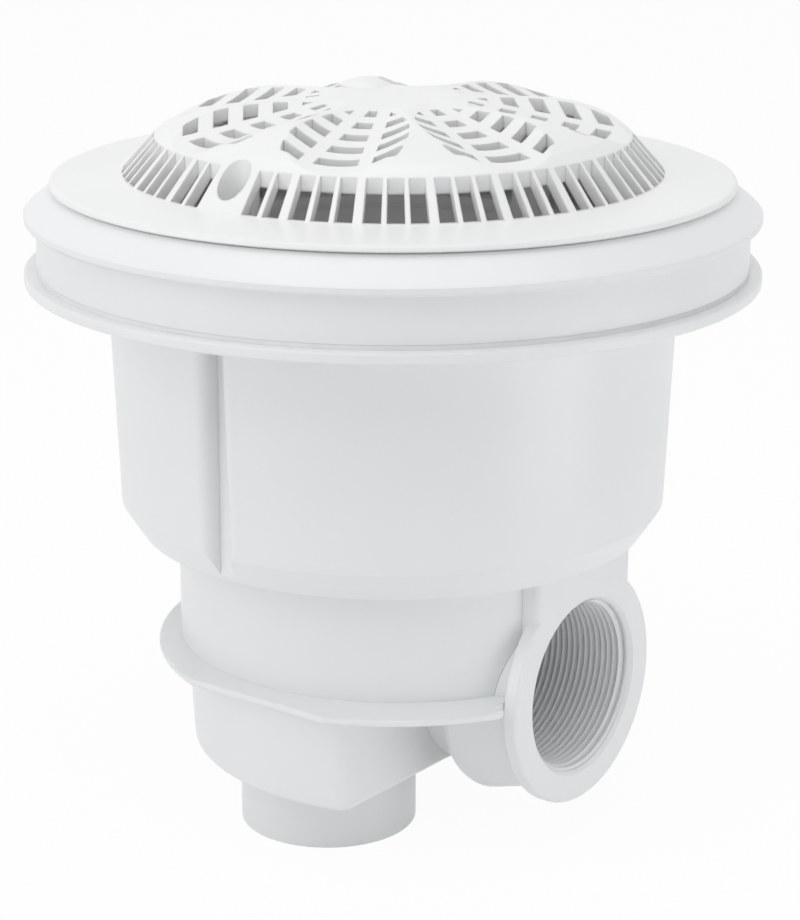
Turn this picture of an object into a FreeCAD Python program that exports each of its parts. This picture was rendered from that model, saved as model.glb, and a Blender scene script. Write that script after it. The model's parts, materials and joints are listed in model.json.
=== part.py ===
import FreeCAD, Part
import os
from math import asin, cos, degrees, pi, radians, sin, sqrt
from FreeCAD import Vector

# Pool main drain, in millimetres.
# Origin: centre of the lower flange's underside, on the axis of the bucket.
# +Z is up, towards the pool. The side port points along +X. The two cover screws are on the Y axis.

# Lower flange and bucket
flange_radius = 125.0
flange_thickness = 3.6
flange_round = 0.7
wall = 4.0
bucket_top_radius = 97.2
bucket_foot_radius = 94.1
bucket_wall_height = 77.5
bucket_floor_radius = 87.5
bucket_depth = 87.5

# Chamber between the bucket and the ledge plate
chamber_radius = 76.6
chamber_offset = 2.8
chamber_height = 39.0

# Ledge plate, the flange that anchors the lower casing
ledge_thickness = 2.5
ledge_radius = 93.75
ledge_half_width = 86.25
ledge_overhang = 10.0
ledge_end = 80.0
ledge_port_gap = 5.5
ledge_round = 0.8

# Lower casing, a drum with one flat side
casing_radius = 82.5
casing_offset = 13.75
casing_draft = 2.0
casing_height = 34.2
casing_flat = 38.75
casing_corner_round = 5.0
casing_foot_round = 2.0

# Side port, threaded for a two inch pipe
port_face = 81.25
port_drop = 5.5
port_thread_radius = 29.8
port_thread_length = 42.0
port_chamfer = 1.2
port_throat_radius = 26.0
port_ring_radius = 40.6
port_ring_thickness = 5.4
port_ring_round = 1.2
port_neck_length = 26.9
port_neck_tip_radius = 35.6
port_shoulder_radius = 41.6
port_shoulder_round = 5.0
port_root_radius = 35.0
web_half_width = 27.7
web_round = 2.5

# Spigot under the casing, threaded inside for the relief valve
spigot_radius = 30.5
spigot_length = 25.2
spigot_x = -1.8
spigot_y = -34.4
spigot_thread_radius = 23.9
spigot_round = 0.8

# Screw towers inside the bucket, with a groove up their backs
cover_screw_circle = 83.1
tower_radius = 7.0
tower_groove_width = 6.6
tower_groove_skin = 2.4
tower_groove_round = 4.0
insert_radius = 3.5
insert_length = 10.0

# Frame screws and their bosses under the flange
frame_screw_count = 8
frame_screw_circle = 103.5
frame_screw_radius = 2.1
frame_screw_head_radius = 4.4
frame_screw_head_height = 2.8
frame_screw_bite = 7.0
frame_boss_radius = 4.6
frame_boss_skin = 1.2

# Gasket between the flange and the frame ring
gasket_thickness = 1.5

# Frame ring: foot, neck, lip, bevel and the seat for the cover
foot_inner_radius = 93.0
foot_thickness = 3.0
neck_radius = 120.6
neck_wall = 3.5
neck_height = 15.7
lip_radius = 124.5
lip_thickness = 3.4
lip_round = 1.6
bevel_rise = 7.6
seat_outer_radius = 114.6
seat_inner_radius = 104.0
seat_thickness = 2.5

# Cover: skirt, band of slots, dome and plateau
cover_radius = 115.8
skirt_thickness = 2.6
rim_relief = 0.7
rim_relief_width = 3.0
rim_round = 1.5
band_outer_radius = 91.6
band_inner_radius = 80.0
band_foot_rise = 4.0
band_rise = 12.9
band_skin = 5.5
shoulder_width = 3.5
shoulder_rise = 2.8
dome_rise = 9.3
plateau_radius = 24.0
dome_bend_radius = 50.0
dome_bend_drop = 1.6
dome_middle_radius = 65.0
dome_middle_drop = 4.6
dome_skin = 4.5
rib_thickness = 3.0
rib_depth = 4.0

# Slots of the cover, in groups of three
slot_groups = 24
slot_angle = 3.6
slot_pitch_angle = 4.7
slot_margin = 0.4

# Scoops in the dome, one to a leaf window: round troughs that fall towards the shoulder
scoop_radius = 47.0
scoop_start = 20.0
scoop_slope = 0.203

# Leaf windows of the cover: rows of openings between two ribs, inside a leaf that widens outwards
leaf_count = 8
leaf_rows = 5
leaf_first_row = 28.4
leaf_row_pitch = 10.5
leaf_opening = 5.1
leaf_rib = 4.7
leaf_first_half_width = 1.7
leaf_half_width_growth = 0.125
leaf_side_slope = 0.55
leaf_tip = 24.5
leaf_widest = 62.0
leaf_end_gap = 1.5
leaf_half_width = 19.6
leaf_inner_power = 1.8
leaf_outer_power = 2.6
leaf_outline_steps = 6
leaf_smallest_opening = 2.0

# Round button on the plateau
button_radius = 8.5
button_height = 2.6
button_angle = 150.0

# Cover screws, their pockets and their keepers
pocket_radius = 5.3
pocket_wall = 2.7
pocket_floor = 3.0
pocket_floor_rise = 1.8
cover_screw_radius = 2.45
cover_screw_head_radius = 4.5
cover_screw_head_height = 3.0
cover_screw_bite = 8.5
recess_width = 1.1
recess_depth = 1.6
recess_span = 5.0
keeper_thickness = 1.2
keeper_radius = 4.6

# Relief valve
valve_flange_radius = 28.6
valve_flange_thickness = 4.0
valve_gasket_thickness = 1.5
valve_gasket_width = 4.2
valve_hex_flats = 47.0
valve_hex_height = 7.0
valve_bore_radius = 17.5
valve_shank_length = 20.0
seat_lip_height = 1.6
seat_lip_width = 1.6
hub_radius = 5.0
hub_length = 8.0
hub_drop = 8.0
arm_count = 4
arm_thickness = 2.2
poppet_radius = 21.5
poppet_thickness = 3.0
poppet_crown = 1.6
stem_radius = 2.5
valve_lift = 7.0
seal_thickness = 1.8
seal_width = 5.5
spring_closed_length = 8.0
spring_radius = 4.6
spring_wire = 1.0
spring_turns = 4
spring_section_sides = 6
cup_radius = 6.6
cup_thickness = 1.2
clip_radius = 4.4
clip_thickness = 0.8
clip_groove = 0.5
stem_tail = 1.6

# Clearances
screw_clearance = 0.4
thread_clearance = 0.08
running_clearance = 0.05
seat_clearance = 0.25
rim_clearance = 0.6
slack = 0.05
overlap = 1.0

# Levels worked out from the sizes above
flange_top = flange_thickness
bucket_bottom = -bucket_depth
ledge_top = bucket_bottom - chamber_height
ledge_bottom = ledge_top - ledge_thickness
casing_bottom = ledge_bottom - casing_height
casing_floor = casing_bottom + wall
spigot_bottom = casing_bottom - spigot_length
port_level = ledge_top - port_drop
ring_bottom = flange_top + gasket_thickness
foot_top = ring_bottom + foot_thickness
lip_bottom = ring_bottom + neck_height
lip_top = lip_bottom + lip_thickness
seat_level = lip_top + bevel_rise
skirt_level = seat_level + skirt_thickness
band_foot = seat_level + band_foot_rise
band_top = band_foot + band_rise
shoulder_top = band_top + shoulder_rise
plateau_level = shoulder_top + dome_rise
pocket_bottom = seat_level - pocket_floor - pocket_floor_rise
pocket_level = pocket_bottom + pocket_floor
sleeve_top = pocket_bottom - keeper_thickness
valve_seat_level = casing_floor + valve_gasket_thickness
valve_hex_top = valve_seat_level + valve_flange_thickness + valve_hex_height
seat_lip_top = valve_hex_top + seat_lip_height
hub_top = valve_hex_top - hub_drop
hub_bottom = hub_top - hub_length
seal_bottom = seat_lip_top + seat_clearance
disc_bottom = seal_bottom + seal_thickness
cup_top = hub_bottom - spring_closed_length - valve_lift
cup_bottom = cup_top - cup_thickness
clip_bottom = cup_bottom - clip_thickness
stem_bottom = clip_bottom - stem_tail

Z_AXIS = Vector(0, 0, 1)
X_AXIS = Vector(1, 0, 0)
ORIGIN = Vector(0, 0, 0)


def turned(points, x=0.0, y=0.0):
    """Solid turned about a vertical axis, from (radius, height) points."""
    corners = [Vector(r, 0, z) for r, z in points]
    face = Part.Face(Part.makePolygon(corners + corners[:1]))
    solid = face.revolve(ORIGIN, Z_AXIS, 360)
    solid.translate(Vector(x, y, 0))
    return solid


def rod(radius, low, high, x=0.0, y=0.0):
    """Upright cylinder from one level to another."""
    return Part.makeCylinder(radius, high - low, Vector(x, y, low), Z_AXIS)


def bar(radius, start, end, level):
    """Cylinder along X at a level."""
    return Part.makeCylinder(radius, end - start, Vector(start, 0, level), X_AXIS)


def block(x0, x1, y0, y1, z0, z1):
    """Box between two corners."""
    return Part.makeBox(x1 - x0, y1 - y0, z1 - z0, Vector(x0, y0, z0))


def prism(points, low, high):
    """Upright prism on a polygon of (x, y) points."""
    corners = [Vector(x, y, low) for x, y in points]
    return Part.Face(Part.makePolygon(corners + corners[:1])).extrude(Vector(0, 0, high - low))


def spun(shape, angle):
    """Copy of a shape turned about the drain's axis."""
    copy = shape.copy()
    copy.rotate(ORIGIN, Z_AXIS, angle)
    return copy


def around(shape, count, first=0.0):
    """Copies of a shape spaced evenly about the drain's axis."""
    return [spun(shape, first + 360.0 * i / count) for i in range(count)]


def rounded(shape, radius, wanted):
    """Shape with the edges that a test picks rounded off."""
    edges = [edge for edge in shape.Edges if wanted(edge)]
    return shape.makeFillet(radius, edges)


def at_level(level):
    """Test for edges that lie in one level plane."""
    def test(edge):
        box = edge.BoundBox
        return abs(box.ZMin - level) < 1e-4 and abs(box.ZMax - level) < 1e-4
    return test


def at_station(x):
    """Test for edges that lie in one plane across the X axis."""
    def test(edge):
        box = edge.BoundBox
        return abs(box.XMin - x) < 1e-4 and abs(box.XMax - x) < 1e-4
    return test


def upright(edge):
    """Test for edges that run up and down."""
    box = edge.BoundBox
    return box.ZLength > box.XLength + box.YLength


# Sump: bucket, base and port socket, three mouldings cemented together

def bucket_outside():
    """Lower flange and the outside of the bucket, with its bevelled foot."""
    disc = rod(flange_radius, 0, flange_top)
    flange = rounded(disc, flange_round, lambda edge: edge.BoundBox.XLength > 1)
    bucket = turned([
        (0, flange_top / 2),
        (bucket_top_radius, flange_top / 2),
        (bucket_top_radius, 0),
        (bucket_foot_radius, -bucket_wall_height),
        (bucket_floor_radius, bucket_bottom),
        (0, bucket_bottom),
    ])
    return [flange, bucket]


def bucket_inside():
    """Hollow of the bucket, open at the top."""
    return turned([
        (0, flange_top + overlap),
        (bucket_top_radius - wall, flange_top + overlap),
        (bucket_top_radius - wall, 0),
        (bucket_foot_radius - wall, -bucket_wall_height),
        (bucket_floor_radius - wall, bucket_bottom + wall),
        (0, bucket_bottom + wall),
    ])


def ledge_plate():
    """Flat plate around the joint of chamber and casing, stopping short of the port's ring."""
    tail_radius = casing_radius + ledge_overhang
    side = ledge_half_width
    near = sqrt(ledge_radius ** 2 - ledge_end ** 2)
    near_start = Vector(sqrt(ledge_radius ** 2 - side ** 2), -side, ledge_bottom)
    near_middle = Vector(ledge_radius * cos(pi / 4), -ledge_radius * sin(pi / 4), ledge_bottom)
    near_end = Vector(ledge_end, -near, ledge_bottom)
    far = sqrt(bucket_floor_radius ** 2 - ledge_end ** 2)
    far_start = Vector(ledge_end, far, ledge_bottom)
    far_middle = Vector(bucket_floor_radius * cos(pi / 4), bucket_floor_radius * sin(pi / 4), ledge_bottom)
    far_end = Vector(sqrt(bucket_floor_radius ** 2 - side ** 2), side, ledge_bottom)
    tail_x = casing_offset - sqrt(tail_radius ** 2 - side ** 2)
    tail_start = Vector(tail_x, side, ledge_bottom)
    tail_middle = Vector(casing_offset - tail_radius, 0, ledge_bottom)
    tail_end = Vector(tail_x, -side, ledge_bottom)
    outline = Part.Wire([
        Part.Arc(near_start, near_middle, near_end).toShape(),
        Part.LineSegment(near_end, far_start).toShape(),
        Part.Arc(far_start, far_middle, far_end).toShape(),
        Part.LineSegment(far_end, tail_start).toShape(),
        Part.Arc(tail_start, tail_middle, tail_end).toShape(),
        Part.LineSegment(tail_end, near_start).toShape(),
    ])
    plate = Part.Face(outline).extrude(Vector(0, 0, ledge_thickness))
    plate = rounded(plate, ledge_round, at_level(ledge_top))
    plate = rounded(plate, ledge_round, at_level(ledge_bottom))
    ring_start = port_face - port_ring_thickness
    return plate.cut(bar(port_ring_radius + ledge_port_gap, ring_start, port_face, port_level))


def drum(radius_top, radius_bottom, flat, low, high):
    """Tapered drum about the casing's axis, with one flat side."""
    shape = turned([(0, high), (radius_top, high), (radius_bottom, low), (0, low)], casing_offset)
    beyond = block(flat, casing_offset + radius_top + overlap, -radius_top - overlap, radius_top + overlap,
                   low - overlap, high + overlap)
    return shape.cut(beyond)


def casing_outside():
    """Lower casing with rounded corners beside its flat and a rounded foot."""
    foot_radius = casing_radius - casing_draft
    shape = drum(casing_radius, foot_radius, casing_flat, casing_bottom, ledge_bottom + slack)
    corners = [edge for edge in shape.Edges if edge.BoundBox.ZLength > casing_height / 2
               and abs(edge.CenterOfMass.x - casing_flat) < 0.5]
    shape = shape.makeFillet(casing_corner_round, corners)
    return rounded(shape, casing_foot_round, at_level(casing_bottom))


def port_neck():
    """Neck of the side port, turned about its axis: root, round shoulder, cone and ring."""
    ring_start = port_face - port_ring_thickness
    shoulder = ring_start - port_neck_length
    radius = port_shoulder_radius - port_shoulder_round
    bend = port_shoulder_round * (1 - cos(pi / 4))
    root = Vector(casing_flat - wall, 0, port_root_radius)
    root_end = Vector(shoulder, 0, port_root_radius)
    arc_start = Vector(shoulder, 0, radius)
    arc_middle = Vector(shoulder + bend, 0, port_shoulder_radius - bend)
    arc_end = Vector(shoulder + port_shoulder_round, 0, port_shoulder_radius)
    path = [
        arc_end,
        Vector(ring_start, 0, port_neck_tip_radius),
        Vector(ring_start, 0, port_ring_radius),
        Vector(port_face, 0, port_ring_radius),
        Vector(port_face, 0, 0),
        Vector(root.x, 0, 0),
        root,
        root_end,
        arc_start,
    ]
    edges = [Part.Arc(arc_start, arc_middle, arc_end).toShape()]
    edges += [Part.LineSegment(a, b).toShape() for a, b in zip(path, path[1:])]
    neck = Part.Face(Part.Wire(Part.__sortEdges__(edges))).revolve(ORIGIN, X_AXIS, 360)
    rim = 2 * port_ring_radius - slack
    neck = rounded(neck, port_ring_round, at_station(port_face))
    neck = rounded(neck, port_ring_round,
                   lambda edge: at_station(ring_start)(edge) and edge.BoundBox.YLength > rim)
    neck.translate(Vector(0, 0, port_level))
    return neck


def web():
    """Saddle over the port that ties its ring to the bucket's foot."""
    shape = block(chamber_offset + chamber_radius / 2, port_face, -web_half_width, web_half_width,
                  port_level, bucket_bottom)
    outer = chamber_radius * 0.8
    return rounded(shape, web_round, lambda edge: upright(edge) and edge.CenterOfMass.x > outer)


def chamber_outside():
    """Outside of the chamber, from the ledge plate up to the bucket."""
    return rod(chamber_radius, ledge_bottom + slack, bucket_bottom, chamber_offset)


def base_inside():
    """Hollow of the chamber and the casing."""
    inside_flat = casing_flat - wall
    inside = casing_radius - wall
    chamber = rod(chamber_radius - wall, ledge_top, bucket_bottom + overlap, chamber_offset)
    casing = drum(inside, inside - casing_draft, inside_flat, casing_floor, ledge_bottom)
    joint = drum(inside, inside, inside_flat, ledge_bottom - slack, ledge_top + slack)
    passage = rod(chamber_radius - wall, ledge_bottom - overlap, ledge_top + overlap, chamber_offset)
    return chamber.fuse([casing, joint.common(passage)])


def port_bore():
    """Threaded length of the port with its chamfered mouth, and the throat behind it."""
    thread_end = port_face - port_thread_length
    thread = bar(port_thread_radius, thread_end, port_face + overlap, port_level)
    throat = bar(port_throat_radius, casing_flat - wall - overlap, thread_end + overlap, port_level)
    flare = port_chamfer + overlap
    mouth = Part.makeCone(port_thread_radius, port_thread_radius + flare, flare,
                          Vector(port_face - port_chamfer, 0, port_level), X_AXIS)
    return [thread, throat, mouth]


def spigot_outside():
    """Round spigot under the casing."""
    shape = rod(spigot_radius, spigot_bottom, casing_floor, spigot_x, spigot_y)
    return rounded(shape, spigot_round, at_level(spigot_bottom))


def tower(side):
    """Screw tower on the bucket's wall, on one side of the Y axis."""
    post = rod(tower_radius, bucket_bottom, flange_top, 0, side * cover_screw_circle)
    low, high = sorted([side * cover_screw_circle, side * bucket_top_radius])
    tie = block(-tower_radius, tower_radius, low, high, bucket_bottom, flange_top)
    return post.fuse(tie)


def tower_groove(side):
    """Groove up the back of a screw tower, from the flange to the bucket's foot."""
    near = side * (cover_screw_circle + insert_radius + tower_groove_skin)
    far = side * (bucket_top_radius + overlap)
    low, high = sorted([near, far])
    half = tower_groove_width / 2
    return block(-half, half, low, high, bucket_bottom - overlap, 0)


def groove_edge(edge):
    """Test for the edges where a tower groove leaves the bucket's wall."""
    box = edge.BoundBox
    side = abs(abs(box.Center.x) - tower_groove_width / 2) < slack and box.XLength < slack
    return side and box.ZLength > box.YLength > wall / 2 and abs(box.Center.y) > bucket_foot_radius


def frame_boss_depth():
    """How far the frame screw bosses hang below the flange."""
    return frame_screw_bite - flange_thickness + frame_boss_skin


def sump_bucket():
    """Upper moulding: lower flange, bucket, screw towers and the bosses of the frame screws."""
    boss = rod(frame_boss_radius, -frame_boss_depth(), flange_top / 2, frame_screw_circle)
    solids = bucket_outside() + around(boss, frame_screw_count, 180.0 / frame_screw_count)
    body = solids[0].fuse(solids[1:])
    towers = tower(1).fuse(tower(-1))
    body = body.cut(bucket_inside().cut(towers))

    pilot = rod(frame_screw_radius + slack, flange_top - frame_screw_bite, flange_top + overlap,
                frame_screw_circle)
    holes = around(pilot, frame_screw_count, 180.0 / frame_screw_count)
    holes.append(rod(chamber_radius - wall, bucket_bottom - overlap, bucket_bottom + wall + overlap,
                     chamber_offset))
    for side in (1, -1):
        holes.append(rod(insert_radius, flange_top - insert_length, flange_top + overlap,
                         0, side * cover_screw_circle))
        holes.append(tower_groove(side))
    body = body.cut(holes).removeSplitter()
    return rounded(body, tower_groove_round, groove_edge)


def sump_base():
    """Lower moulding: chamber, ledge plate, casing and spigot, with the seat of the port socket."""
    body = chamber_outside().fuse([ledge_plate(), casing_outside(), spigot_outside()])
    spigot_hole = rod(spigot_thread_radius, spigot_bottom - overlap, casing_floor + overlap,
                      spigot_x, spigot_y)
    return body.cut([base_inside(), spigot_hole]).cut(port_neck()).removeSplitter()


def port_socket():
    """Socket of the side port and its web, which stand against the casing, the chamber and the bucket."""
    stay = web().cut([chamber_outside(), ledge_plate(), casing_outside()])
    return port_neck().fuse(stay).cut(port_bore()).removeSplitter()


# Gasket, frame ring and their screws

def lugged_ring(inner, outer, low, high):
    """Flat ring with a lug around each cover screw, and holes for all the screws."""
    ring = rod(outer, low, high).cut(rod(inner, low - overlap, high + overlap))
    for side in (1, -1):
        near, far = sorted([side * cover_screw_circle, side * (inner + wall)])
        ring = ring.fuse([
            rod(tower_radius, low, high, 0, side * cover_screw_circle),
            block(-tower_radius, tower_radius, near, far, low, high),
        ])
    return ring


def screw_passages(low, high):
    """Clearance holes for the frame screws and the cover screws."""
    frame = rod(frame_screw_radius + screw_clearance, low - overlap, high + overlap, frame_screw_circle)
    holes = around(frame, frame_screw_count, 180.0 / frame_screw_count)
    for side in (1, -1):
        holes.append(rod(cover_screw_radius + screw_clearance, low - overlap, high + overlap,
                         0, side * cover_screw_circle))
    return holes


def flange_gasket():
    """Flat rubber gasket on the lower flange."""
    ring = lugged_ring(foot_inner_radius, neck_radius, flange_top, ring_bottom)
    return ring.cut(screw_passages(flange_top, ring_bottom)).removeSplitter()


def frame_ring():
    """Ring with a foot on the gasket, a neck, a bevelled lip and the cover's seat."""
    lip_inside = lip_radius - neck_wall - lip_round
    bevel_inside = seat_outer_radius - seat_thickness
    profile = turned([
        (neck_radius - neck_wall, ring_bottom),
        (neck_radius, ring_bottom),
        (neck_radius, lip_bottom),
        (lip_radius - lip_round / 2, lip_bottom),
        (lip_radius, lip_bottom + lip_round / 2),
        (lip_radius, lip_top - lip_round / 2),
        (lip_radius - lip_round / 2, lip_top),
        (seat_outer_radius + rim_relief, seat_level - rim_relief),
        (seat_outer_radius, seat_level),
        (seat_inner_radius, seat_level),
        (seat_inner_radius, seat_level - seat_thickness),
        (bevel_inside, seat_level - seat_thickness),
        (min(lip_inside, neck_radius - neck_wall), lip_top - lip_thickness / 2),
    ])
    foot = lugged_ring(foot_inner_radius, neck_radius - neck_wall / 2, ring_bottom, foot_top)
    sleeves = [rod(tower_radius, ring_bottom, sleeve_top, 0, side * cover_screw_circle) for side in (1, -1)]
    ring = profile.fuse([foot] + sleeves)
    return ring.cut(screw_passages(ring_bottom, max(foot_top, sleeve_top))).removeSplitter()


def frame_screws():
    """Pan head screws that clamp the frame ring to the flange."""
    tip = flange_top - frame_screw_bite + 2 * slack
    point = frame_screw_radius
    screw = turned([
        (0, foot_top + frame_screw_head_height),
        (frame_screw_head_radius * 0.6, foot_top + frame_screw_head_height),
        (frame_screw_head_radius, foot_top + frame_screw_head_height * 0.5),
        (frame_screw_head_radius, foot_top),
        (frame_screw_radius, foot_top),
        (frame_screw_radius, tip + point),
        (frame_screw_radius * 0.4, tip),
        (0, tip),
    ], frame_screw_circle)
    return Part.makeCompound(around(screw, frame_screw_count, 180.0 / frame_screw_count))


# Cover

def dome_arc(drop):
    """Round part of the dome's profile between two scoops, down to the shoulder."""
    arc = Part.Arc(
        Vector(dome_bend_radius, 0, plateau_level - dome_bend_drop - drop),
        Vector(dome_middle_radius, 0, plateau_level - dome_middle_drop - drop),
        Vector(band_inner_radius - shoulder_width, 0, shoulder_top - drop),
    )
    return arc.toShape()


def dome_edges(drop):
    """Edges of the dome's profile from the axis to the shoulder, lowered by a drop."""
    top = Vector(0, 0, plateau_level - drop)
    crown = Vector(plateau_radius, 0, plateau_level - drop)
    bend = Vector(dome_bend_radius, 0, plateau_level - dome_bend_drop - drop)
    return [
        Part.LineSegment(top, crown).toShape(),
        Part.LineSegment(crown, bend).toShape(),
        dome_arc(drop),
    ]


def scoops(drop):
    """Tilted cylinders that hollow the dome, lowered by a drop."""
    tilt = sqrt(1 + scoop_slope ** 2)
    direction = Vector(1, 0, -scoop_slope)
    first = scoop_start - wall
    low = plateau_level + scoop_slope * wall - drop
    base = Vector(first, 0, low) + Vector(scoop_slope, 0, 1) * (scoop_radius / tilt)
    length = (band_outer_radius - first) * tilt
    return around(Part.makeCylinder(scoop_radius, length, base, direction), leaf_count, 180.0 / leaf_count)


def turned_edges(edges, points):
    """Solid turned from profile edges that start on the axis and a path of points that ends on it."""
    start = edges[0].firstVertex(True).Point
    path = [edges[-1].lastVertex(True).Point] + points + [start]
    lines = [Part.LineSegment(a, b).toShape() for a, b in zip(path, path[1:])]
    wire = Part.Wire(Part.__sortEdges__(edges + lines))
    return Part.Face(wire).revolve(ORIGIN, Z_AXIS, 360)


def cover_shell():
    """Shell of the cover: the turned outside less the turned inside, both hollowed by the scoops."""
    rim_inner = cover_radius - rim_relief_width
    rib_outer = seat_inner_radius - rim_clearance
    rib_inner = rib_outer - rib_thickness
    underside_slope = (band_outer_radius - band_inner_radius) / band_rise
    foot_radius = band_outer_radius - (band_skin - band_foot_rise) * underside_slope
    outside = turned_edges(dome_edges(0), [
        Vector(band_inner_radius, 0, band_top),
        Vector(band_outer_radius, 0, band_foot),
        Vector(cover_radius - rim_round, 0, skirt_level),
        Vector(cover_radius - rim_round * 0.3, 0, skirt_level - rim_round * 0.3),
        Vector(cover_radius, 0, skirt_level - rim_round),
        Vector(cover_radius, 0, seat_level + rim_relief),
        Vector(rim_inner, 0, seat_level + rim_relief),
        Vector(rim_inner, 0, seat_level),
        Vector(rib_outer, 0, seat_level),
        Vector(rib_outer, 0, seat_level - rib_depth),
        Vector(rib_inner, 0, seat_level - rib_depth),
        Vector(rib_inner, 0, seat_level),
        Vector(0, 0, seat_level),
    ])
    inside = turned_edges(dome_edges(dome_skin), [
        Vector(band_inner_radius, 0, band_top - band_skin),
        Vector(foot_radius, 0, seat_level),
        Vector(foot_radius, 0, seat_level - overlap),
        Vector(0, 0, seat_level - overlap),
    ])
    return outside.cut(scoops(0)).cut(inside.cut(scoops(dome_skin)))


def slot_cutters():
    """Radial slots in groups of three, left out where the screw pockets are."""
    half = radians(slot_angle / 2)
    reach = band_outer_radius - slot_margin
    start = band_inner_radius + slot_margin
    slot = prism([
        (start * cos(half), -start * sin(half)),
        (reach * cos(half), -reach * sin(half)),
        (reach * cos(half), reach * sin(half)),
        (start * cos(half), start * sin(half)),
    ], seat_level - overlap, plateau_level)
    keep_out = degrees(asin((pocket_radius + pocket_wall) / cover_screw_circle)) + slot_angle / 2 - slack
    cutters = []
    for group in range(slot_groups):
        centre = 360.0 * (group + 0.5) / slot_groups
        for place in (-1, 0, 1):
            angle = centre + place * slot_pitch_angle
            from_pocket = abs((angle - 90.0 + 90.0) % 180.0 - 90.0)
            if from_pocket > keep_out:
                cutters.append(spun(slot, angle))
    return cutters


def leaf_outline():
    """Closed leaf curve of one window, along the X axis, with its widest place near its far end."""
    end = band_inner_radius - leaf_end_gap
    upper = []
    for reach, power in ((end - leaf_widest, leaf_outer_power), (leaf_tip - leaf_widest, leaf_inner_power)):
        steps = [sin(pi / 2 * step / leaf_outline_steps) for step in range(leaf_outline_steps)]
        half = [(leaf_widest + reach * u, leaf_half_width * (1 - u ** power) ** (1 / power)) for u in steps]
        upper += half[:0:-1] if reach > 0 else half
    lower = [(x, -y) for x, y in reversed(upper)]
    points = [Vector(x, y, 0) for x, y in [(end, 0)] + upper + [(leaf_tip, 0)] + lower]
    curve = Part.BSplineCurve()
    curve.interpolate(Points=points, PeriodicFlag=True)
    return Part.Face(Part.Wire(curve.toShape()))


def leaf_cells():
    """Openings of one window: straight ones between the ribs, slanting ones at either side."""
    leaf = leaf_outline()
    half = leaf_opening / 2
    reach = leaf_half_width * 1.2
    cells = []

    def mid_width(x):
        return leaf_first_half_width + leaf_half_width_growth * (x - leaf_first_row)

    def add(points):
        corners = [Vector(x, y, 0) for x, y in points]
        cell = Part.Face(Part.makePolygon(corners + corners[:1])).common(leaf)
        cells.extend(face for face in cell.Faces if face.Area > leaf_smallest_opening)

    for row in range(leaf_rows):
        centre = leaf_first_row + leaf_row_pitch * row
        near = centre - half
        far = centre + half
        half_near = mid_width(near)
        half_far = mid_width(far)
        add([(near, -half_near), (far, -half_far), (far, half_far), (near, half_near)])
        inside_near = half_near + leaf_rib
        inside_far = half_far + leaf_rib
        for side in (1, -1):
            add([
                (near, side * inside_near),
                (far, side * inside_far),
                (far - leaf_side_slope * (reach - inside_far), side * reach),
                (near - leaf_side_slope * (reach - inside_near), side * reach),
            ])
    return cells


def leaf_cutters():
    """Cutters for the openings of all the leaf windows."""
    cutters = []
    for face in leaf_cells():
        face.translate(Vector(0, 0, band_top - dome_skin - overlap))
        cutter = face.extrude(Vector(0, 0, plateau_level - band_top + dome_skin + 2 * overlap))
        cutters += around(cutter, leaf_count, 180.0 / leaf_count)
    return cutters


def button():
    """Low round button near the edge of the plateau."""
    sphere_radius = (button_radius ** 2 + button_height ** 2) / (2 * button_height)
    distance = plateau_radius + overlap / 2
    centre = Vector(distance * cos(radians(button_angle)), distance * sin(radians(button_angle)),
                    plateau_level + button_height - sphere_radius)
    cap = Part.makeSphere(sphere_radius, centre)
    keep = rod(button_radius, plateau_level - dome_skin / 2, plateau_level + button_height + overlap,
               centre.x, centre.y)
    return cap.common(keep)


def grille_cover():
    """The cover: one moulding with dome, windows, slots, screw pockets and button."""
    shell = cover_shell()
    pocket_outer = pocket_radius + pocket_wall
    posts = [rod(pocket_outer, pocket_bottom, band_top, 0, side * cover_screw_circle) for side in (1, -1)]
    under_skin = turned([
        (band_inner_radius - shoulder_width - pocket_outer, pocket_bottom),
        (band_outer_radius + pocket_outer, pocket_bottom),
        (band_outer_radius + pocket_outer, skirt_level - slack),
        (band_outer_radius, band_foot - slack),
        (band_inner_radius, band_top - slack),
        (band_inner_radius - shoulder_width, shoulder_top - slack),
        (band_inner_radius - shoulder_width - pocket_outer, shoulder_top - slack),
    ])
    shell = shell.cut(slot_cutters()).cut(leaf_cutters())
    shell = shell.fuse([post.common(under_skin) for post in posts] + [button()])
    holes = []
    for side in (1, -1):
        y = side * cover_screw_circle
        holes.append(rod(pocket_radius, pocket_level, plateau_level, 0, y))
        passage = cover_screw_radius + screw_clearance
        holes.append(rod(passage, pocket_bottom - overlap, plateau_level, 0, y))
    return shell.cut(holes).removeSplitter()


def cover_screw(side):
    """Pan head screw through a pocket of the cover into its insert."""
    y = side * cover_screw_circle
    top = pocket_level + cover_screw_head_height
    tip = flange_top - cover_screw_bite
    screw = turned([
        (0, top),
        (cover_screw_head_radius * 0.55, top),
        (cover_screw_head_radius * 0.88, top - cover_screw_head_height * 0.3),
        (cover_screw_head_radius, pocket_level + cover_screw_head_height * 0.3),
        (cover_screw_head_radius, pocket_level),
        (cover_screw_radius, pocket_level),
        (cover_screw_radius, tip + cover_screw_radius / 2),
        (cover_screw_radius / 2, tip),
        (0, tip),
    ], 0, y)
    half = recess_width / 2
    span = recess_span / 2
    across = block(-span, span, y - half, y + half, top - recess_depth, top + overlap)
    along = block(-half, half, y - span, y + span, top - recess_depth, top + overlap)
    return screw.cut([across, along])


def cover_screws():
    """The two cover screws."""
    return Part.makeCompound([cover_screw(1), cover_screw(-1)])


def screw_inserts():
    """Brass inserts in the screw towers."""
    inserts = []
    for side in (1, -1):
        y = side * cover_screw_circle
        bottom = flange_top - insert_length
        outer = rod(insert_radius, bottom, flange_top, 0, y)
        bore = rod(cover_screw_radius + slack, bottom - overlap, flange_top + overlap, 0, y)
        inserts.append(outer.cut(bore))
    return Part.makeCompound(inserts)


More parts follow.
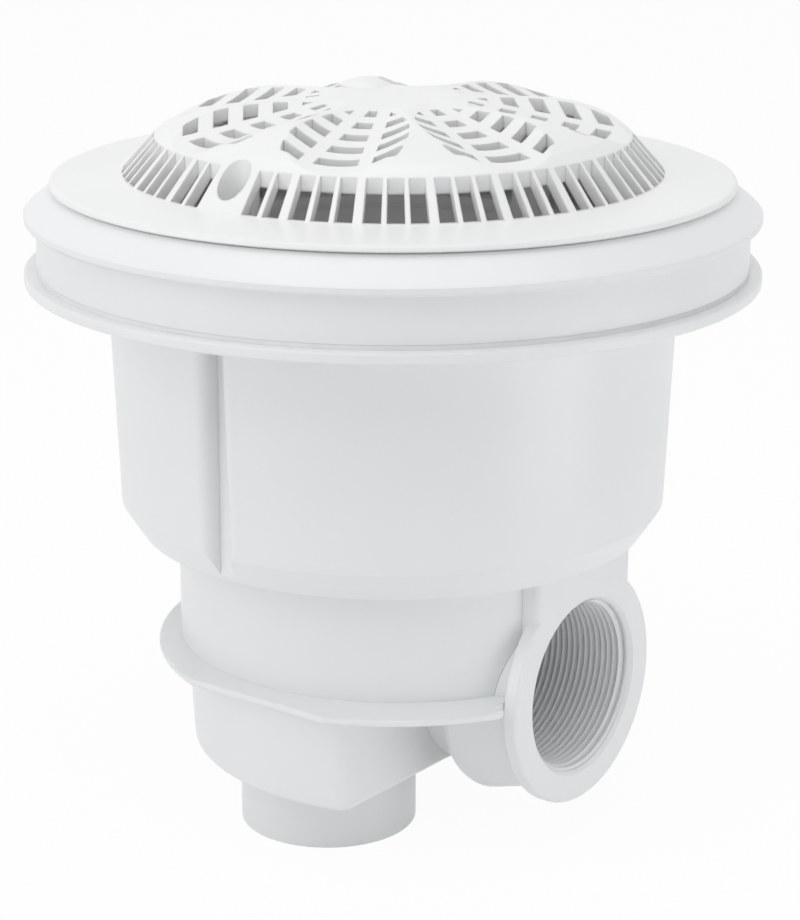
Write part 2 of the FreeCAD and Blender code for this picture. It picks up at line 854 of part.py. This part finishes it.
def screw_keepers():
    """Rubber rings that keep the cover screws in their pockets."""
    keepers = []
    for side in (1, -1):
        y = side * cover_screw_circle
        ring = rod(keeper_radius, sleeve_top, pocket_bottom, 0, y)
        hole = rod(cover_screw_radius, sleeve_top - overlap, pocket_bottom + overlap, 0, y)
        keepers.append(ring.cut(hole))
    return Part.makeCompound(keepers)


# Relief valve, on the spigot's axis

def on_spigot(shape):
    """Moves a shape from the drain's axis to the spigot's axis."""
    shape.translate(Vector(spigot_x, spigot_y, 0))
    return shape


def valve_body():
    """Screwed body of the relief valve: flange, hexagon, seat lip and a hub on arms."""
    flange_top_level = valve_seat_level + valve_flange_thickness
    shank_bottom = valve_seat_level - valve_gasket_thickness - valve_shank_length
    corner = valve_hex_flats / 2 / cos(pi / 6)
    hexagon = prism([(corner * cos(i * pi / 3), corner * sin(i * pi / 3)) for i in range(6)],
                    flange_top_level - slack, valve_hex_top)
    outside = rod(valve_flange_radius, valve_seat_level, flange_top_level).fuse([
        rod(spigot_thread_radius - thread_clearance, shank_bottom, valve_seat_level + slack),
        hexagon,
        rod(valve_bore_radius + seat_lip_width, valve_hex_top - slack, seat_lip_top),
    ])
    outside = outside.cut(rod(valve_bore_radius, shank_bottom - overlap, seat_lip_top + overlap))
    arm = block(0, valve_bore_radius + overlap, -arm_thickness / 2, arm_thickness / 2, hub_bottom, hub_top)
    hub = rod(hub_radius, hub_bottom, hub_top).fuse(around(arm, arm_count))
    guide = rod(stem_radius + running_clearance, hub_bottom - overlap, hub_top + overlap)
    return on_spigot(outside.fuse(hub).cut(guide).removeSplitter())


def valve_gasket():
    """Rubber ring between the casing's floor and the valve's flange."""
    inner = valve_flange_radius - valve_gasket_width
    ring = rod(valve_flange_radius, casing_floor, valve_seat_level)
    return on_spigot(ring.cut(rod(inner, casing_floor - overlap, valve_seat_level + overlap)))


def valve_poppet():
    """Crowned disc on a stem with a groove for the clip."""
    disc_top = disc_bottom + poppet_thickness
    groove = stem_radius - clip_groove
    return on_spigot(turned([
        (0, disc_top + poppet_crown),
        (poppet_radius * 0.45, disc_top + poppet_crown * 0.8),
        (poppet_radius * 0.85, disc_top + poppet_crown * 0.2),
        (poppet_radius, disc_top - poppet_thickness * 0.3),
        (poppet_radius, disc_bottom),
        (stem_radius, disc_bottom),
        (stem_radius, cup_bottom),
        (groove, cup_bottom),
        (groove, clip_bottom),
        (stem_radius, clip_bottom),
        (stem_radius, stem_bottom + stem_radius * 0.3),
        (stem_radius * 0.7, stem_bottom),
        (0, stem_bottom),
    ]))


def poppet_seal():
    """Flat rubber ring under the poppet's disc."""
    ring = rod(poppet_radius - overlap / 2, seal_bottom, disc_bottom)
    hole = rod(poppet_radius - seal_width, seal_bottom - overlap, disc_bottom + overlap)
    return on_spigot(ring.cut(hole))


def valve_spring():
    """Coil spring around the stem, between the hub and the cup."""
    wire_radius = spring_wire / 2
    low = cup_top + wire_radius + slack
    high = hub_bottom - wire_radius - slack
    helix = Part.makeHelix((high - low) / spring_turns, high - low, spring_radius)
    helix.translate(Vector(0, 0, low))
    corners = []
    for side in range(spring_section_sides + 1):
        angle = 2 * pi * (side + 0.5) / spring_section_sides
        corners.append(Vector(spring_radius + wire_radius * cos(angle), 0, low + wire_radius * sin(angle)))
    section = Part.makePolygon(corners)
    coil = Part.Wire(helix.Edges).makePipeShell([section], True, True)
    return on_spigot(coil)


def spring_cup():
    """Washer that the spring pushes on."""
    washer = rod(cup_radius, cup_bottom, cup_top)
    return on_spigot(washer.cut(rod(stem_radius + slack, cup_bottom - overlap, cup_top + overlap)))


def stem_clip():
    """Clip in the stem's groove under the cup, open at one side."""
    gap = stem_radius - clip_groove
    low = clip_bottom - overlap
    high = cup_bottom + overlap
    ring = rod(clip_radius, clip_bottom, cup_bottom)
    hole = rod(gap, low, high)
    mouth = block(0, clip_radius + overlap, -gap * 0.8, gap * 0.8, low, high)
    return on_spigot(ring.cut([hole, mouth]))


def save(name, shape):
    """Writes one piece as a STEP file and prints what it holds."""
    shape.exportStep("parts/" + name + ".step")
    print(name, "solids", len(shape.Solids), "valid", shape.isValid(), "volume", round(shape.Volume, 1))


os.makedirs("parts", exist_ok=True)
save("sump_bucket", sump_bucket())
save("sump_base", sump_base())
save("port_socket", port_socket())
save("flange_gasket", flange_gasket())
save("frame_ring", frame_ring())
save("frame_screws", frame_screws())
save("grille_cover", grille_cover())
save("cover_screws", cover_screws())
save("screw_inserts", screw_inserts())
save("screw_keepers", screw_keepers())
save("valve_body", valve_body())
save("valve_gasket", valve_gasket())
save("valve_poppet", valve_poppet())
save("poppet_seal", poppet_seal())
save("valve_spring", valve_spring())
save("spring_cup", spring_cup())
save("stem_clip", stem_clip())
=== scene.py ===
"""Studio, materials, port thread and valve spring of a pool main drain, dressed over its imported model."""
import json
import math

import bpy
from mathutils import Matrix, Vector


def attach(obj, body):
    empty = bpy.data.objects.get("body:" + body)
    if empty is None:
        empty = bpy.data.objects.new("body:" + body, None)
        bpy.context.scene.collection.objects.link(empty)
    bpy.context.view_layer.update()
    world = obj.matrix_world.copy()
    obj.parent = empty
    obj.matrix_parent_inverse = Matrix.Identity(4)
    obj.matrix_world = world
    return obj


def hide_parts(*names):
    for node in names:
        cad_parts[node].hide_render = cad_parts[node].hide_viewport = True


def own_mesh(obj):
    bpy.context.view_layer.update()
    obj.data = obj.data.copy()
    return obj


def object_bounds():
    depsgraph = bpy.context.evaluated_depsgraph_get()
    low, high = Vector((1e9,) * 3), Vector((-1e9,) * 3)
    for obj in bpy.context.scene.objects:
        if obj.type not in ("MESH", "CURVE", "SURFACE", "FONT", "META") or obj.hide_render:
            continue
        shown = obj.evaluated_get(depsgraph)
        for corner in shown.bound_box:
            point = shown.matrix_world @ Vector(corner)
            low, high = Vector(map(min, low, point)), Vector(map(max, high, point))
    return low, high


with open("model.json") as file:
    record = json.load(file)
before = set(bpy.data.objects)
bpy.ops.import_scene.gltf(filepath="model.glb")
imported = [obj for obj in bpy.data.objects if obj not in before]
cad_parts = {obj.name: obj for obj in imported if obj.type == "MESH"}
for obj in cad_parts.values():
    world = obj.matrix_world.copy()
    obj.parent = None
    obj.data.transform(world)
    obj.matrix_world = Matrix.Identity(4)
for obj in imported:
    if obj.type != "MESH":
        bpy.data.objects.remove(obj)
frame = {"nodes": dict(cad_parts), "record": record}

cad_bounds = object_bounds()
scene = bpy.context.scene

# Lengths are in metres, lamp powers in watts and camera angles in radians.

# Camera, from the circles of the flanges in the photograph
focal_pixels = 2800.0
frame_height_pixels = 920.0
frame_width_pixels = 800.0
principal_x = 392.66
sensor_millimetres = 36.0
camera_azimuth = math.radians(36.95)
camera_pitch = 0.29305
camera_roll = 0.00237
camera_reach = 0.9338
camera_height = 0.2148
nearest_seen = 0.05
farthest_seen = 50.0

# Port thread
thread_axis_z = -0.132
thread_root = 0.0298
thread_crest = 0.02833
thread_pitch = 0.002309
thread_start = 0.0404
thread_end = 0.0797
thread_sink = 0.0001
thread_steps = 96
thread_fade_turns = 0.8
# Half a tooth from its foot to its crest: place in half pitches, height in depths
thread_flank = [(0.98, -0.05), (0.90, 0.04), (0.20, 0.92), (0.09, 0.99)]

# Relief valve spring, between the hub and the cup
spring_x = -0.0018
spring_y = -0.0344
spring_top = -0.1627
spring_bottom = -0.1777
spring_radius = 0.0046
spring_wire = 0.001
spring_turns = 5.5
spring_closed_turns = 0.9
spring_closed_pitch = 1.05 * spring_wire
spring_steps = 40
spring_sides = 10

# Floor and surround
floor_radius = 7.0
floor_sides = 64
floor_gap = 0.0002
floor_colour = (0.92, 0.92, 0.92, 1.0)
floor_roughness = 0.9
floor_shadow_share = 0.05
plain_white = (1.0, 1.0, 1.0, 1.0)
ambient_colour = (0.985, 0.995, 1.0, 1.0)
ambient_strength = 0.44

# Lamps
neutral = (1.0, 1.0, 1.0)
cool = (0.95, 0.985, 1.0)
warm = (1.0, 0.99, 0.90)
object_middle = (0.0, 0.0, -0.05)
port_middle = (0.07, 0.0, -0.15)
inner_place = (0.0, 0.0, -0.03)
inner_power = 0.008
inner_radius = 0.03

# Finish
bevel_samples = 4
plastic_ior = 1.5
metal_scratch = 0.00001
metal_edge = 0.00015
rubber_edge = 0.0003


def mesh_object(name, points, faces, smooth=True):
    mesh = bpy.data.meshes.new(name)
    mesh.from_pydata(points, [], faces)
    mesh.update()
    mesh.validate()
    if smooth:
        mesh.shade_smooth()
    made = bpy.data.objects.new(name, mesh)
    scene.collection.objects.link(made)
    return made


class Nodes:
    """A material's node tree, with short calls for making and joining nodes."""

    def __init__(self, name):
        self.material = bpy.data.materials.new(name)
        self.material.use_nodes = True
        self.tree = self.material.node_tree
        self.shader = self.tree.nodes["Principled BSDF"]
        self.where = self.add("ShaderNodeTexCoord").outputs["Object"]

    def add(self, kind, **inputs):
        node = self.tree.nodes.new(kind)
        for name, value in inputs.items():
            node.inputs[name.replace("_", " ")].default_value = value
        return node

    def join(self, source, target):
        self.tree.links.new(source, target)

    def noise(self, scale, detail, roughness, stretch=None):
        """Noise in the object's own coordinates, optionally drawn out along an axis."""
        node = self.add("ShaderNodeTexNoise", Scale=scale, Detail=detail, Roughness=roughness)
        place = self.where
        if stretch:
            mapping = self.add("ShaderNodeMapping", Scale=stretch)
            self.join(place, mapping.inputs["Vector"])
            place = mapping.outputs["Vector"]
        self.join(place, node.inputs["Vector"])
        return node.outputs["Fac"]

    def roughness(self, source, low, high):
        """Roughness from low to high over the middle of a noise's range."""
        node = self.add("ShaderNodeMapRange", From_Min=0.3, From_Max=0.7, To_Min=low, To_Max=high)
        self.join(source, node.inputs["Value"])
        self.join(node.outputs["Result"], self.shader.inputs["Roughness"])

    def colour(self, source, shade, light, shade_place=0.3, light_place=0.7):
        """Base colour between two tints, over the middle of a noise's range."""
        node = self.add("ShaderNodeValToRGB")
        first, last = node.color_ramp.elements
        first.position = shade_place
        first.color = (*shade, 1.0)
        last.position = light_place
        last.color = (*light, 1.0)
        self.join(source, node.inputs["Fac"])
        self.join(node.outputs["Color"], self.shader.inputs["Base Color"])

    def bumps(self, layers, edge):
        """Stacks height layers of (source, distance, strength) on an edge rounded by that radius."""
        bevel = self.add("ShaderNodeBevel", Radius=edge)
        bevel.samples = bevel_samples
        normal = bevel.outputs["Normal"]
        for source, distance, strength in layers:
            bump = self.add("ShaderNodeBump", Distance=distance, Strength=strength)
            self.join(source, bump.inputs["Height"])
            self.join(normal, bump.inputs["Normal"])
            normal = bump.outputs["Normal"]
        self.join(normal, self.shader.inputs["Normal"])


def moulded(name, light, shade, rough_low, rough_high, edge, grain):
    """Injection moulded plastic: faint clouding, flow marks, a satin skin and softened edges."""
    made = Nodes(name)
    made.colour(made.noise(scale=22.0, detail=4.0, roughness=0.55), shade, light)
    made.roughness(made.noise(scale=160.0, detail=3.0, roughness=0.6), rough_low, rough_high)
    flow = made.noise(scale=14.0, detail=2.0, roughness=0.5, stretch=(1.0, 1.0, 0.35))
    peel = made.noise(scale=900.0, detail=2.0, roughness=0.5)
    made.bumps([(flow, 0.0004, 0.12), (peel, grain, 0.5)], edge)
    made.shader.inputs["IOR"].default_value = plastic_ior
    return made.material


def rubber(name, light, shade, cloud_scale, speck_scale, rough_low, rough_high, grain, strength):
    """Matte rubber with a fine speckled skin."""
    made = Nodes(name)
    made.colour(made.noise(scale=cloud_scale, detail=4.0, roughness=0.6), shade, light)
    speck = made.noise(scale=speck_scale, detail=3.0, roughness=0.6)
    made.roughness(speck, rough_low, rough_high)
    made.bumps([(speck, grain, strength)], rubber_edge)
    return made.material


def metal(name, light, shade, rough_low, rough_high):
    """Bare metal with drawn or turned marks along a stretched noise."""
    made = Nodes(name)
    tint = made.noise(scale=90.0, detail=4.0, roughness=0.6)
    made.colour(tint, shade, light, shade_place=0.25, light_place=0.75)
    lines = made.noise(scale=420.0, detail=4.0, roughness=0.6, stretch=(1.0, 1.0, 9.0))
    made.roughness(lines, rough_low, rough_high)
    made.bumps([(lines, metal_scratch, 0.5)], metal_edge)
    made.shader.inputs["Metallic"].default_value = 1.0
    return made.material


materials = {
    "white_plastic": moulded("white_plastic", light=(0.885, 0.893, 0.897), shade=(0.868, 0.878, 0.884),
                             rough_low=0.30, rough_high=0.38, edge=0.0005, grain=0.00002),
    "cover_plastic": moulded("cover_plastic", light=(0.93, 0.93, 0.928), shade=(0.915, 0.916, 0.915),
                             rough_low=0.32, rough_high=0.40, edge=0.0009, grain=0.00002),
    "valve_plastic": moulded("valve_plastic", light=(0.84, 0.84, 0.82), shade=(0.80, 0.80, 0.785),
                             rough_low=0.42, rough_high=0.52, edge=0.0003, grain=0.00004),
    "gasket_rubber": rubber("gasket_rubber", light=(0.062, 0.061, 0.060), shade=(0.035, 0.035, 0.036),
                            cloud_scale=60.0, speck_scale=700.0, rough_low=0.62, rough_high=0.82,
                            grain=0.00006, strength=0.6),
    "pale_rubber": rubber("pale_rubber", light=(0.87, 0.88, 0.88), shade=(0.83, 0.84, 0.84),
                          cloud_scale=50.0, speck_scale=800.0, rough_low=0.55, rough_high=0.72,
                          grain=0.00004, strength=0.5),
    "stainless_steel": metal("stainless_steel", light=(0.66, 0.66, 0.67), shade=(0.56, 0.56, 0.57),
                             rough_low=0.20, rough_high=0.34),
    "spring_steel": metal("spring_steel", light=(0.53, 0.53, 0.54), shade=(0.44, 0.44, 0.45),
                          rough_low=0.28, rough_high=0.42),
    "insert_brass": metal("insert_brass", light=(0.75, 0.59, 0.31), shade=(0.64, 0.48, 0.23),
                          rough_low=0.24, rough_high=0.38),
}

for part in frame["record"]["subparts"]:
    for material_slot in frame["nodes"][part["node"]].material_slots:
        material_slot.material = materials[part["material_slot"]]


def swept_faces(stations, around):
    """Faces of a closed tube with that many stations of that many points each, capped at both ends."""
    faces = []
    for i in range(stations - 1):
        for j in range(around):
            a = i * around + j
            b = i * around + (j + 1) % around
            faces.append((a, b, b + around, a + around))
    faces.append(tuple(range(around - 1, -1, -1)))
    faces.append(tuple(range((stations - 1) * around, stations * around)))
    return faces


def port_thread():
    """Pipe thread of the side port: one ridge wound along the bore, faded out at both ends."""
    rising = [(-place, height) for place, height in thread_flank]
    tooth = rising + thread_flank[::-1]
    depth = thread_root - thread_crest
    count = int((thread_end - thread_start) / thread_pitch * thread_steps)
    fade = thread_steps * thread_fade_turns
    points = []
    for i in range(count + 1):
        angle = 2 * math.pi * i / thread_steps
        middle = thread_start + thread_pitch * i / thread_steps
        share = min(1.0, i / fade, (count - i) / fade)
        for along, height in tooth:
            radius = thread_root - depth * height * share + thread_sink * (height < 0)
            points.append((middle + along * thread_pitch / 2,
                           -radius * math.sin(angle),
                           thread_axis_z + radius * math.cos(angle)))
    made = mesh_object("port_thread", points, swept_faces(count + 1, len(tooth)))
    made.data.materials.append(materials["white_plastic"])
    return made


thread = port_thread()
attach(thread, "drain")


def coil_height(turn_place):
    """Height of the wire's middle above its lowest, with a closed turn at each end."""
    rise = spring_top - spring_bottom - spring_wire
    closed = spring_closed_turns * spring_closed_pitch
    if turn_place < spring_closed_turns:
        return closed * turn_place / spring_closed_turns
    if turn_place > spring_turns - spring_closed_turns:
        return rise - closed * (spring_turns - turn_place) / spring_closed_turns
    open_turns = spring_turns - 2 * spring_closed_turns
    share = (turn_place - spring_closed_turns) / open_turns
    return closed + (rise - 2 * closed) * share


def valve_coil():
    """Coil spring of the relief valve, wound at one fixed length; the real spring is squeezed as the poppet
    lifts.
    """
    wire_radius = spring_wire / 2
    steps = int(spring_turns * spring_steps)
    points = []
    for i in range(steps + 1):
        turn_place = spring_turns * i / steps
        middle = spring_bottom + wire_radius + coil_height(turn_place)
        angle = 2 * math.pi * turn_place
        for j in range(spring_sides):
            around = 2 * math.pi * j / spring_sides
            radius = spring_radius + wire_radius * math.cos(around)
            points.append((spring_x + radius * math.cos(angle),
                           spring_y + radius * math.sin(angle),
                           middle + wire_radius * math.sin(around)))
    made = mesh_object("relief_spring", points, swept_faces(steps + 1, spring_sides))
    made.data.materials.append(materials["spring_steel"])
    return made


coil = valve_coil()
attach(coil, "drain")
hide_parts("valve_spring")
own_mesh(coil)


def white_when_seen(tree, kept):
    """Share of plain white that camera, glossy and transmitted rays get, less the part kept for shadow."""
    path = tree.nodes.new("ShaderNodeLightPath")
    seen_or_glossy = tree.nodes.new("ShaderNodeMath")
    seen_or_glossy.operation = "ADD"
    tree.links.new(path.outputs["Is Camera Ray"], seen_or_glossy.inputs[0])
    tree.links.new(path.outputs["Is Glossy Ray"], seen_or_glossy.inputs[1])
    any_of_three = tree.nodes.new("ShaderNodeMath")
    any_of_three.operation = "ADD"
    any_of_three.use_clamp = True
    tree.links.new(seen_or_glossy.outputs[0], any_of_three.inputs[0])
    tree.links.new(path.outputs["Is Transmission Ray"], any_of_three.inputs[1])
    scaled = tree.nodes.new("ShaderNodeMath")
    scaled.operation = "MULTIPLY"
    scaled.inputs[1].default_value = 1.0 - kept
    tree.links.new(any_of_three.outputs[0], scaled.inputs[0])
    return scaled.outputs[0]


def floor():
    """Pale disc under the object, white to the camera but for a share of the object's shadow."""
    height = cad_bounds[0][2] - floor_gap
    angles = [2 * math.pi * i / floor_sides for i in range(floor_sides)]
    points = [(floor_radius * math.cos(angle), floor_radius * math.sin(angle), height) for angle in angles]
    made = mesh_object("floor", points, [tuple(range(floor_sides))], smooth=False)
    material = bpy.data.materials.new("floor")
    material.use_nodes = True
    tree = material.node_tree
    shader = tree.nodes["Principled BSDF"]
    shader.inputs["Base Color"].default_value = floor_colour
    shader.inputs["Roughness"].default_value = floor_roughness
    glow = tree.nodes.new("ShaderNodeEmission")
    glow.inputs["Color"].default_value = plain_white
    glow.inputs["Strength"].default_value = 1.0
    mix = tree.nodes.new("ShaderNodeMixShader")
    tree.links.new(white_when_seen(tree, floor_shadow_share), mix.inputs["Fac"])
    tree.links.new(shader.outputs["BSDF"], mix.inputs[1])
    tree.links.new(glow.outputs["Emission"], mix.inputs[2])
    tree.links.new(mix.outputs["Shader"], tree.nodes["Material Output"].inputs["Surface"])
    made.data.materials.append(material)
    return made


floor()


def surround():
    """World that lights the object softly and looks plain white."""
    world = bpy.data.worlds.new("studio")
    scene.world = world
    world.use_nodes = True
    tree = world.node_tree
    tree.nodes.clear()
    ambient = tree.nodes.new("ShaderNodeBackground")
    ambient.inputs["Color"].default_value = ambient_colour
    ambient.inputs["Strength"].default_value = ambient_strength
    seen = tree.nodes.new("ShaderNodeBackground")
    seen.inputs["Color"].default_value = plain_white
    seen.inputs["Strength"].default_value = 1.0
    both = tree.nodes.new("ShaderNodeMixShader")
    output = tree.nodes.new("ShaderNodeOutputWorld")
    tree.links.new(white_when_seen(tree, 0.0), both.inputs["Fac"])
    tree.links.new(ambient.outputs["Background"], both.inputs[1])
    tree.links.new(seen.outputs["Background"], both.inputs[2])
    tree.links.new(both.outputs["Shader"], output.inputs["Surface"])


def lamp(name, azimuth, elevation, reach, width, height, power, target=object_middle, colour=neutral):
    """Rectangular soft lamp, in degrees round from the camera and up, at that reach from its target."""
    data = bpy.data.lights.new(name, "AREA")
    data.shape = "RECTANGLE"
    data.size = width
    data.size_y = height
    data.energy = power
    data.color = colour
    made = bpy.data.objects.new(name, data)
    scene.collection.objects.link(made)
    angle = camera_azimuth + math.radians(azimuth)
    rise = math.radians(elevation)
    goal = Vector(target)
    place = goal + Vector((math.sin(angle) * math.cos(rise), -math.cos(angle) * math.cos(rise),
                           math.sin(rise))) * reach
    made.location = place
    made.rotation_euler = (goal - place).to_track_quat("-Z", "Y").to_euler()
    made.visible_camera = False


def inner_lamp():
    """Small soft lamp inside the bucket, for the light that white walls pass on many times."""
    data = bpy.data.lights.new("inner", "POINT")
    data.energy = inner_power
    data.shadow_soft_size = inner_radius
    data.color = warm
    made = bpy.data.objects.new("inner", data)
    scene.collection.objects.link(made)
    made.location = inner_place


def viewpoint():
    """Camera that sees the object as the photograph does."""
    data = bpy.data.cameras.new("camera")
    data.sensor_fit = "VERTICAL"
    data.sensor_height = sensor_millimetres
    data.lens = sensor_millimetres * focal_pixels / frame_height_pixels
    data.shift_x = (frame_width_pixels / 2 - principal_x) / frame_height_pixels
    data.clip_start = nearest_seen
    data.clip_end = farthest_seen
    made = bpy.data.objects.new("camera", data)
    scene.collection.objects.link(made)
    turn = (Matrix.Rotation(camera_azimuth, 4, "Z") @ Matrix.Rotation(math.pi / 2 - camera_pitch, 4, "X")
            @ Matrix.Rotation(camera_roll, 4, "Z"))
    place = Vector((math.sin(camera_azimuth) * camera_reach, -math.cos(camera_azimuth) * camera_reach,
                    camera_height))
    made.matrix_world = Matrix.Translation(place) @ turn
    return made


surround()
lamp("overhead", azimuth=0.0, elevation=84.0, reach=1.6, width=1.6, height=1.6, power=9.6)
lamp("left", azimuth=-66.0, elevation=18.0, reach=1.6, width=1.2, height=1.6, power=6.6)
lamp("right", azimuth=66.0, elevation=10.0, reach=1.6, width=1.2, height=1.6, power=2.0, colour=cool)
lamp("front", azimuth=-14.0, elevation=50.0, reach=1.7, width=1.6, height=0.8, power=3.0, colour=cool)
lamp("low", azimuth=62.0, elevation=-2.0, reach=0.42, width=0.3, height=0.06, power=0.24,
     target=port_middle)
inner_lamp()
scene.camera = viewpoint()
scene.view_settings.view_transform = "Standard"
